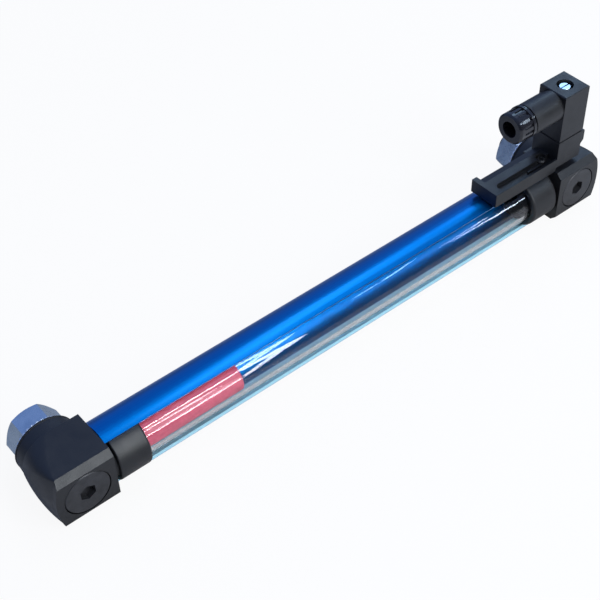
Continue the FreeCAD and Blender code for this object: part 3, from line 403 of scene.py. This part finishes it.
# %% [markdown]
# ## Red float
# The float is a light, matt red moulding. One even red would look painted on, and strong grain would
# flicker behind the bent light of the tube. So its noise is fine, and its two reds are close together.

# %% Red float
red_float = finish("red_float", roughness=0.5)
tint(red_float, noise(red_float, 500), (0.5, 0.056, 0.1), (0.61, 0.078, 0.13))
relief(red_float, noise(red_float, 2400), 0.00004, 0.35)
print("float:", red_float.name)

# %% [markdown]
# ## Hidden pieces
# The pieces inside also get finishes, because the part is used whole: the reed switch of glass, its
# resin, tinned brass blades, the grey insert of the plug and the dark magnet. They could share one
# grey, but a cut-away view would then tell nothing. As they are seldom seen, one fine noise is enough
# for each.

# %% Hidden finishes
magnet = finish("magnet", base_color=(0.05, 0.05, 0.055, 1), roughness=0.6, metallic=0.3)
relief(magnet, noise(magnet, 1500), 0.00005, 0.4)
reed_glass = finish(
    "reed_glass", base_color=(0.55, 0.75, 0.62, 1), roughness=0.08, ior=1.5, transmission_weight=0.8
)
relief(reed_glass, noise(reed_glass, 500), 0.00002, 0.2)
resin = finish("resin", base_color=(0.03, 0.03, 0.032, 1), roughness=0.3)
relief(resin, noise(resin, 300), 0.00005, 0.3)
tinned_brass = finish("tinned_brass", base_color=(0.72, 0.71, 0.68, 1), roughness=0.3, metallic=1.0)
gloss(tinned_brass, noise(tinned_brass, 700), 0.24, 0.38)
grey_insert = finish("grey_insert", base_color=(0.16, 0.16, 0.17, 1), roughness=0.5)
relief(grey_insert, noise(grey_insert, 1500), 0.00005, 0.3)
print("hidden finishes:", magnet.name, reed_glass.name, resin.name, tinned_brass.name, grey_insert.name)

# %% [markdown]
# ## Give each node its finish
# A material could be put on each of the 37 nodes by a line of its own, but most finishes are shared.
# So each finish is listed with its pieces. A loop puts it into their only slot, and the last line
# names any piece that was missed.

# %% Finishes of the nodes
FINISHES = {
    black_plastic: (
        "lower_head", "upper_head", "lower_collar", "upper_collar", "sensor_base", "connector_housing",
    ),
    glossy_plastic: ("gland_nut",),
    black_rubber: (
        "lower_wall_seal", "upper_wall_seal", "connector_gasket", "lower_tube_seal", "upper_tube_seal",
        "lower_spigot_seal", "upper_spigot_seal", "lower_bolt_seal", "upper_bolt_seal", "gland_seal",
    ),
    black_steel: ("lower_bolt", "upper_bolt"),
    shaded_black_screw: ("base_screw",),
    zinc: ("lower_nut", "upper_nut", "connector_screw"),
    bright_zinc: ("lower_washer", "upper_washer", "terminal_screws", "gland_washer", "reed_leads"),
    blue_anodised: ("shield_profile",),
    clear_acrylic: ("sight_tube",),
    red_float: ("float_body", "float_plug"),
    magnet: ("float_magnet",),
    reed_glass: ("reed_switch",),
    resin: ("sensor_potting",),
    tinned_brass: ("contact_blades",),
    grey_insert: ("terminal_insert",),
}
for material, names in FINISHES.items():
    for name in names:
        slots = nodes[name].data.materials
        slots.clear()
        slots.append(material)
finished = {name for names in FINISHES.values() for name in names}
print("nodes without a finish:", sorted(set(nodes) - finished))

# %% [markdown]
# ## Softened edges
# A moulded or machined edge is never quite sharp, and the thin light line along it is what makes a
# black part readable. The mesh itself could be rounded, but modifiers leave it as it is, and can be
# changed later. Weld joins the loose triangles, Decimate joins flat ones into whole faces, Bevel
# rounds the edges, and Weighted Normal keeps the flat faces flat.

# %% Soften the edges that show
SAME_POINT = 1e-6
FLAT_ANGLE = 0.4  # degrees
SHARP_ANGLE = 32
SOFT_EDGES = {
    0.00035: ("sensor_base", "connector_housing", "lower_head", "upper_head"),
    0.00025: ("lower_collar", "upper_collar", "gland_nut", "float_body"),
    0.0003: ("lower_bolt", "upper_bolt"),
    0.0002: ("lower_nut", "upper_nut", "shield_profile"),
}


def soften(piece, width):
    """Rounds the piece's edges by this width, in two steps."""
    weld = piece.modifiers.new("weld", "WELD")
    weld.merge_threshold = SAME_POINT
    flat_faces = piece.modifiers.new("flat", "DECIMATE")
    flat_faces.decimate_type = "DISSOLVE"
    flat_faces.angle_limit = math.radians(FLAT_ANGLE)
    edge = piece.modifiers.new("edge", "BEVEL")
    edge.width = width
    edge.segments = 2
    edge.limit_method = "ANGLE"
    edge.angle_limit = math.radians(SHARP_ANGLE)
    even = piece.modifiers.new("even", "WEIGHTED_NORMAL")
    even.keep_sharp = True


for width, names in SOFT_EDGES.items():
    for name in names:
        soften(nodes[name], width)
    print("edges of", round(width * 1000, 2), "mm:", ", ".join(names))

# %% [markdown]
# ## Surfaces from numpy
# New pieces could be built from Blender's own cylinders, but their faces can't follow a formula. Here
# each piece is a grid of points, worked out as whole arrays, which is quick and keeps the faces even.
# Faces have to point outwards, so a closed mesh whose volume comes out negative is turned over.

# %% Helpers for new pieces
def volume_inside(points, faces):
    """The volume inside faces of four corners, each of them two triangles. A triangle adds a sixth of
    its first corner's dot product with the cross product of its other two. The sum of all is the
    volume, and is negative if the faces point inwards."""
    a, b, c, d = points[faces].swapaxes(0, 1)
    return (np.sum(a * np.cross(b, c)) + np.sum(a * np.cross(c, d))) / 6


def grid_mesh(name, points, rows_close=True, columns_close=True):
    """A mesh from an array of points (rows, columns, 3), with a face between each four neighbours.
    Where the rows close, the last one is joined to the first, and the columns likewise."""
    rows, columns = points.shape[:2]
    index = np.arange(rows * columns).reshape(rows, columns)
    if rows_close:
        index = np.vstack([index, index[:1]])
    if columns_close:
        index = np.hstack([index, index[:, :1]])
    corners = np.stack([index[:-1, :-1], index[:-1, 1:], index[1:, 1:], index[1:, :-1]], axis=-1)
    places, faces = points.reshape(-1, 3), corners.reshape(-1, 4)
    mesh = bpy.data.meshes.new(name)
    mesh.from_pydata(places, [], faces.tolist())
    mesh.shade_smooth()
    if rows_close and columns_close and volume_inside(places, faces) < 0:
        mesh.flip_normals()
    return mesh


def turned_about(axis, profile, sides):
    """Points of a lathe piece. Each row of the profile is a radius and a height. X is the axis's X
    plus the radius times the cosine of the angle, Y is the axis's Y plus the radius times its sine,
    and Z is the height, for angles all the way round."""
    angle = np.linspace(0, 2 * np.pi, sides, endpoint=False)
    radius, height = profile[:, :1], profile[:, 1:]
    x = axis[0] + radius * np.cos(angle)
    y = axis[1] + radius * np.sin(angle)
    z = height + np.zeros_like(angle)
    return np.stack([x, y, z], axis=-1)


def new_piece(name, mesh, material, body, slot, *replaced):
    """An object for the mesh, on its body, in place of the nodes that it replaces."""
    piece = bpy.data.objects.new(name, mesh)
    bpy.context.scene.collection.objects.link(piece)
    mesh.materials.append(material)
    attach(piece, body)
    if replaced:
        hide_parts(*replaced)
    print(name, "has", len(mesh.polygons), "faces")
    return piece


# %% [markdown]
# ## The clear tube, smoother than its solid
# Light bends twice in the tube's wall, and flat facets would show as bands. The solid's own mesh could
# be divided further, but its long thin triangles would stay uneven. So the tube is turned again with
# many sides, at the size of its solid, with tiny bevelled rims.

# %% Clear tube
tube_low, tube_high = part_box("sight_tube")
bottom, top = tube_low.z, tube_high.z
TUBE_RADIUS = (tube_high.x - tube_low.x) / 2
TUBE_WALL = 0.0016
TUBE_BORE = TUBE_RADIUS - TUBE_WALL
TUBE_SIDES = 192
TUBE_STEPS = 40
RIM = 0.0002

up_the_wall = np.linspace(bottom + 2 * RIM, top - 2 * RIM, TUBE_STEPS)
profile = np.array([
    (TUBE_BORE + RIM, bottom), (TUBE_RADIUS - RIM, bottom), (TUBE_RADIUS, bottom + RIM),
    *[(TUBE_RADIUS, z) for z in up_the_wall],
    (TUBE_RADIUS, top - RIM), (TUBE_RADIUS - RIM, top), (TUBE_BORE + RIM, top),
    (TUBE_BORE, top - RIM),
    *[(TUBE_BORE, z) for z in up_the_wall[::-1]],
    (TUBE_BORE, bottom + RIM),
])
tube_mesh = grid_mesh("clear_tube", turned_about(TUBE_AXIS, profile, TUBE_SIDES))
new_piece("clear_tube", tube_mesh, clear_acrylic, "gauge", "clear_tube", "sight_tube")

# %% [markdown]
# ## Toothed lock washers
# Between each nut and the rubber ring sits a toothed washer, whose teeth are twisted so that they bite.
# Teeth could be cut one by one, but a ring whose outer radius swings in and out with the angle, and
# whose rim swings along Y, gives them all at once.

# %% Toothed washers
TEETH = 34
STEPS_PER_TOOTH = 10
TOOTH_DEPTH = 0.00025
TOOTH_TWIST = 0.0002
ROOT_DEPTH = 0.00055
WASHER_BORE = 0.00615
WASHER_EDGE = 0.0002
EDGE_SIDE = 0.7  # where the bevel begins, as a share of half the thickness


def toothed_washer(name, cad_name):
    """A ring around the bolt. X is the radius times the sine of the angle, and Z is the bolt's height
    plus the radius times its cosine. The rim's radius is the largest one less the tooth depth times
    half of one minus the wave, where the wave is the cosine of the angle times the number of teeth.
    Along Y the rim moves by the twist times the sine of that same product."""
    low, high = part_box(cad_name)
    largest = (high.x - low.x) / 2
    half = (high.y - low.y) / 2 - TOOTH_TWIST
    middle = middle_of(cad_name)
    angle = np.linspace(0, 2 * np.pi, TEETH * STEPS_PER_TOOTH, endpoint=False)
    rim = largest - TOOTH_DEPTH * (1 - np.cos(TEETH * angle)) / 2
    lean = TOOTH_TWIST * np.sin(TEETH * angle)
    root = largest - ROOT_DEPTH
    inner = WASHER_BORE + WASHER_EDGE
    rows = []
    for radius, side, leans in (
        (inner, -1, 0), (root, -1, 0), (rim - WASHER_EDGE, -1, 1), (rim, -EDGE_SIDE, 1),
        (rim, EDGE_SIDE, 1), (rim - WASHER_EDGE, 1, 1), (root, 1, 0), (inner, 1, 0),
        (WASHER_BORE, EDGE_SIDE, 0), (WASHER_BORE, -EDGE_SIDE, 0),
    ):
        x = radius * np.sin(angle)
        y = middle.y + side * half + leans * lean
        z = middle.z + radius * np.cos(angle)
        rows.append(np.stack([x, y, z], axis=-1))
    return new_piece(name, grid_mesh(name, np.array(rows)), bright_zinc, "gauge", "zinc_steel", cad_name)


toothed_washer("lower_tooth_washer", "lower_washer")
toothed_washer("upper_tooth_washer", "upper_washer")

# %% [markdown]
# ## Floor
# The gauge lies on its side, as on a table, so the floor is a plane just past its largest X, and faces
# along minus X. A curved sheet would hide where floor and wall meet, but the camera looks down on the
# gauge and sees no wall, so a large flat grid is enough.

# %% Floor
FLOOR_GAP = 0.0002
FLOOR_HALF = 2.5
FLOOR_STEPS = 9

along = np.linspace(-FLOOR_HALF, FLOOR_HALF, FLOOR_STEPS)
u, v = np.meshgrid(along, along)
floor_points = np.stack([np.full_like(u, cad_box[1].x + FLOOR_GAP), u, v], axis=-1)
floor_mesh = grid_mesh("floor", floor_points, rows_close=False, columns_close=False)
floor_mesh.flip_normals()
floor = bpy.data.objects.new("floor", floor_mesh)
bpy.context.scene.collection.objects.link(floor)
print("floor faces", floor_mesh.polygons[0].normal)

# %% [markdown]
# ## Paper and cards
# The gauge lies on white paper, and its shiny sides mirror what lies around it. Real cards could be
# laid out beside it, but they would show in the picture. So the floor has two looks, and the kind of
# ray chooses between them: the camera sees white paper, and the gauge mirrors a warm grey card in
# front of it and a darker one behind.

# %% What the floor shows
PAPER = (0.95, 0.95, 0.95)
WARM_CARD = (0.74, 0.69, 0.63)
DARK_CARD = (0.2, 0.2, 0.21)
CARD_CHANGE = (-0.03, 0.12)  # along Y, where the warm card turns into the dark one

floor_paint = bpy.data.materials.new("floor_paint")
floor_paint.use_nodes = True
floor_paint.node_tree.nodes.clear()
ray = node(floor_paint, "LightPath")
floor_place = node(floor_paint, "TexCoord")
floor_parts = node(floor_paint, "SeparateXYZ")
join(floor_paint, floor_place.outputs["Object"], floor_parts.inputs["Vector"])
behind = spread(floor_paint, floor_parts.outputs["Y"], 0.0, 1.0, *CARD_CHANGE)
card = blend(floor_paint, behind, WARM_CARD, DARK_CARD)
paper = blend(floor_paint, ray.outputs["Is Camera Ray"], card, PAPER)
print("the cards change from Y", CARD_CHANGE[0], "to", CARD_CHANGE[1])

# %% [markdown]
# ## An even white with a soft shadow
# In a product picture the paper is lit until it is almost even. Strong lamps on the floor would also
# light the gauge, so the paper glows by itself, only where the camera sees it, and the small share
# that doesn't glow keeps the shadow. From below the floor is clear, because the gauge is also looked
# at from that side.

# %% Floor paint
GLOW_SHARE = 0.92

matt = node(floor_paint, "BsdfDiffuse")
glow = node(floor_paint, "Emission")
glow.inputs["Color"].default_value = (1, 1, 1, 1)
glow.inputs["Strength"].default_value = 1.0
glow_share = node(floor_paint, "Math", operation="MULTIPLY")
glow_share.inputs[1].default_value = GLOW_SHARE
lit = node(floor_paint, "MixShader")
join(floor_paint, paper, matt.inputs["Color"])
join(floor_paint, ray.outputs["Is Camera Ray"], glow_share.inputs[0])
join(floor_paint, glow_share.outputs[0], lit.inputs["Fac"])
join(floor_paint, matt.outputs[0], lit.inputs[1])
join(floor_paint, glow.outputs[0], lit.inputs[2])

face = node(floor_paint, "NewGeometry")
clear = node(floor_paint, "BsdfTransparent")
sided = node(floor_paint, "MixShader")
join(floor_paint, face.outputs["Backfacing"], sided.inputs["Fac"])
join(floor_paint, lit.outputs[0], sided.inputs[1])
join(floor_paint, clear.outputs[0], sided.inputs[2])
join(floor_paint, sided.outputs[0], node(floor_paint, "OutputMaterial").inputs["Surface"])
floor_mesh.materials.append(floor_paint)
print("floor paint:", floor_paint.name)

# %% [markdown]
# ## Room light
# The gauge stands in a dim room that is bluer overhead, where the tops of the black pieces mirror it.
# A picture of a real room could light it, but two colours that blend with the direction do the same.
# The camera itself sees plain white where there is no floor.

# %% Room light
TO_THE_SKY = (-0.8, 0.6, 0.0)
SKY_RANGE = (-0.2, 0.9)  # how far a direction points to the sky, where the room ends and the sky is full
ROOM = (0.09, 0.1, 0.12)
SKY = (0.22, 0.325, 0.63)

world = bpy.data.worlds.new("room")
world.use_nodes = True
world.node_tree.nodes.clear()
bpy.context.scene.world = world
direction = node(world, "TexCoord")
upward = node(world, "VectorMath", operation="DOT_PRODUCT")
upward.inputs[1].default_value = TO_THE_SKY
join(world, direction.outputs["Generated"], upward.inputs[0])
sky_share = spread(world, upward.outputs["Value"], 0.0, 1.0, *SKY_RANGE)
dome = node(world, "Background")
join(world, blend(world, sky_share, ROOM, SKY), dome.inputs["Color"])

white = node(world, "Background")
white.inputs["Color"].default_value = (1, 1, 1, 1)
white.inputs["Strength"].default_value = 1.0
ray = node(world, "LightPath")
pick = node(world, "MixShader")
join(world, ray.outputs["Is Camera Ray"], pick.inputs["Fac"])
join(world, dome.outputs[0], pick.inputs[1])
join(world, white.outputs[0], pick.inputs[2])
join(world, pick.outputs[0], node(world, "OutputWorld").inputs["Surface"])
print("room light:", world.name)

# %% [markdown]
# ## Lamps by azimuth and height
# A shiny tube is lit by what it mirrors. A lamp could be placed by X, Y and Z, but a round tube mirrors
# each azimuth to one place on its wall. So a lamp is placed by azimuth and height around the tube, and
# is moved until its streak is where it should be.

# %% Helper for lamps
AIM_DROP = 0.3  # how much lower than its own middle a lamp aims
AIM_TOP = 0.25  # the highest point of the tube's axis that a lamp aims at


def around(azimuth, height, distance):
    """Points at this distance from the tube's axis. The azimuth counts from the front towards the
    contact unit's side. X is the axis's X less the distance times the azimuth's sine, and Y is the
    axis's Y less the distance times its cosine."""
    turn = np.radians(azimuth)
    x = TUBE_AXIS[0] - distance * np.sin(turn)
    y = TUBE_AXIS[1] - distance * np.cos(turn)
    return np.stack([x, y, height + np.zeros_like(turn)], axis=-1)


def lamp(name, start, end, width, brightness, distance, colour):
    """A flat lamp from start to end, each an azimuth and a height. It faces the tube, somewhat lower
    down than it hangs. Brightness is its radiance, so 1 looks as bright as white paper in a mirror,
    whatever the lamp's size. Its watts are the radiance times pi times its area."""
    a, b = Vector(around(*start, distance)), Vector(around(*end, distance))
    middle, along = (a + b) / 2, (b - a).normalized()
    aim = Vector((*TUBE_AXIS, min(max(middle.z - AIM_DROP, 0.0), AIM_TOP)))
    facing = aim - middle
    facing = (facing - facing.dot(along) * along).normalized()
    side = facing.cross(along)
    light = bpy.data.lights.new(name, "AREA")
    light.shape = "RECTANGLE"
    light.size, light.size_y = (b - a).length, width
    light.energy = brightness * math.pi * light.size * light.size_y
    light.color = colour
    made = bpy.data.objects.new(name, light)
    made.matrix_world = Matrix((
        (along.x, side.x, -facing.x, middle.x),
        (along.y, side.y, -facing.y, middle.y),
        (along.z, side.z, -facing.z, middle.z),
        (0, 0, 0, 1),
    ))
    made.visible_camera = False
    bpy.context.scene.collection.objects.link(made)
    print("lamp", name, round(light.energy, 2), "W")


# %% [markdown]
# ## Panes for windows
# A window is a bright shape with an outline of its own. An area light can only be a rectangle or an
# ellipse, so a window is a pane: a mesh of one face that glows. The camera doesn't see it, but the
# tube does.

# %% Helper for panes
def pane(name, corners, brightness, distance, colour):
    """A glowing face with these corners, each an azimuth and a height. Brightness is as for a lamp."""
    azimuths, heights = np.array(corners).T
    mesh = bpy.data.meshes.new(name)
    mesh.from_pydata(around(azimuths, heights, distance), [], [range(len(corners))])
    paint = bpy.data.materials.new(name)
    paint.use_nodes = True
    paint.node_tree.nodes.clear()
    glow = node(paint, "Emission")
    glow.inputs["Color"].default_value = (*colour, 1)
    glow.inputs["Strength"].default_value = brightness
    join(paint, glow.outputs[0], node(paint, "OutputMaterial").inputs["Surface"])
    mesh.materials.append(paint)
    made = bpy.data.objects.new(name, mesh)
    made.visible_camera = False
    bpy.context.scene.collection.objects.link(made)
    print("pane", name, "with", len(corners), "corners")


# %% [markdown]
# ## Windows
# In front of the gauge stand windows. The low and wide ones light the float and the lower head, and
# one like a wedge shows in the tube as a white point above the float. One large lamp could light all
# of it, but the tube would then show one broad band in place of its separate streaks.

# %% Windows
DAYLIGHT = (0.86, 0.93, 1.0)

# Each corner is an azimuth in degrees and a height. After the corners come the brightness, the
# distance from the tube and the colour.
pane("window_low", [(58, 0.297), (23, 0.43), (12, 0.43), (42, 0.297)], 1.5, 0.9, DAYLIGHT)
pane("window_side", [(42, 0.297), (12, 0.43), (2, 0.43), (2, 0.37), (21, 0.297)], 1.0, 0.9, DAYLIGHT)
pane("window_wide", [(62, 0.06), (62, 0.29), (16, 0.29), (16, 0.06)], 5.5, 0.95, DAYLIGHT)
pane("window_tip", [
    (57, 0.43), (48, 0.483), (32, 0.53), (23, 0.483), (11, 0.43), (22, 0.43), (35, 0.472), (47, 0.43),
], 14.0, 0.9, DAYLIGHT)

# %% [markdown]
# ## Lamps overhead and streaks
# Three wide lamps overhead make the broad band on the blue channel, cooler towards the top. The narrow
# ones stand along the tube and show as long thin streaks, white over the float and bluish above it. A
# streak could be painted on the tube, but would stay where it is when the view changes.

# %% Lamps
WHITE = (1, 1, 1)
NEAR_WHITE = (0.95, 0.98, 1.0)
COOL_WHITE = (0.7, 0.88, 1.0)
PALE_BLUE = (0.7, 0.84, 1.0)
LIGHT_BLUE = (0.6, 0.78, 1.0)
SKY_BLUE = (0.5, 0.75, 1.0)
CLEAR_BLUE = (0.4, 0.72, 1.0)

# The two ends are an azimuth in degrees and a height each. After them come the width, the brightness,
# the distance from the tube and the colour.
lamp("overhead", (88, 0.38), (120, 0.63), 0.22, 3.2, 1.0, NEAR_WHITE)
lamp("overhead_middle", (95, 0.64), (103, 0.86), 0.2, 1.6, 1.0, COOL_WHITE)
lamp("overhead_high", (116, 0.95), (140, 1.2), 0.3, 2.8, 1.0, SKY_BLUE)
lamp("streak_low", (56.9, 0.266), (53.5, 0.387), 0.055, 25.0, 0.8, WHITE)
lamp("streak_middle", (43, 0.266), (36, 0.35), 0.04, 12.0, 0.8, WHITE)
lamp("streak_front", (15.4, 0.266), (15.4, 0.387), 0.06, 25.0, 0.8, WHITE)
lamp("line_middle", (65, 0.605), (64, 0.665), 0.035, 13.0, 0.9, CLEAR_BLUE)
lamp("line_steep", (64, 0.66), (74, 0.7), 0.02, 10.0, 0.9, CLEAR_BLUE)
lamp("streak_high", (48.5, 0.77), (46, 0.86), 0.04, 24.0, 0.9, LIGHT_BLUE)
lamp("streak_end", (45, 0.855), (41, 0.895), 0.09, 20.0, 0.9, PALE_BLUE)

# %% [markdown]
# ## Camera
# The camera stands where the photograph was taken from: in front of the gauge, on the contact unit's
# side and below its lower end. It is rolled over, so that the gauge lies across the picture. A
# constraint could aim it at the gauge, but would keep it level, so it is turned by three angles. Its
# place and angles were fitted to the bolts, heads and collars.

# %% Camera
EYE = (-0.3595091, -0.2981664, -0.1049691)
LOOK_TURN = 51.7078  # degrees from Y towards X
LOOK_UP = 25.8807
ROLL = 59.1658
PICTURE_WIDTH = 36  # mm
LENS = 75.72714  # mm
NEAREST = 0.01

turn, up, roll = (math.radians(angle) for angle in (LOOK_TURN, LOOK_UP, ROLL))
forward = Vector((math.sin(turn) * math.cos(up), math.cos(turn) * math.cos(up), math.sin(up)))
level_view = forward.to_track_quat("-Z", "Y").to_matrix()
view = level_view @ Matrix.Rotation(roll, 3, "Z")

camera = bpy.data.cameras.new("camera")
camera.sensor_fit = "HORIZONTAL"
camera.sensor_width = PICTURE_WIDTH
camera.lens = LENS
camera.clip_start = NEAREST
eye = bpy.data.objects.new("camera", camera)
bpy.context.scene.collection.objects.link(eye)
eye.matrix_world = Matrix.Translation(EYE) @ view.to_4x4()
bpy.context.scene.camera = eye
bpy.context.scene.view_settings.view_transform = "Standard"
print("lens", round(camera.lens, 2), "mm")
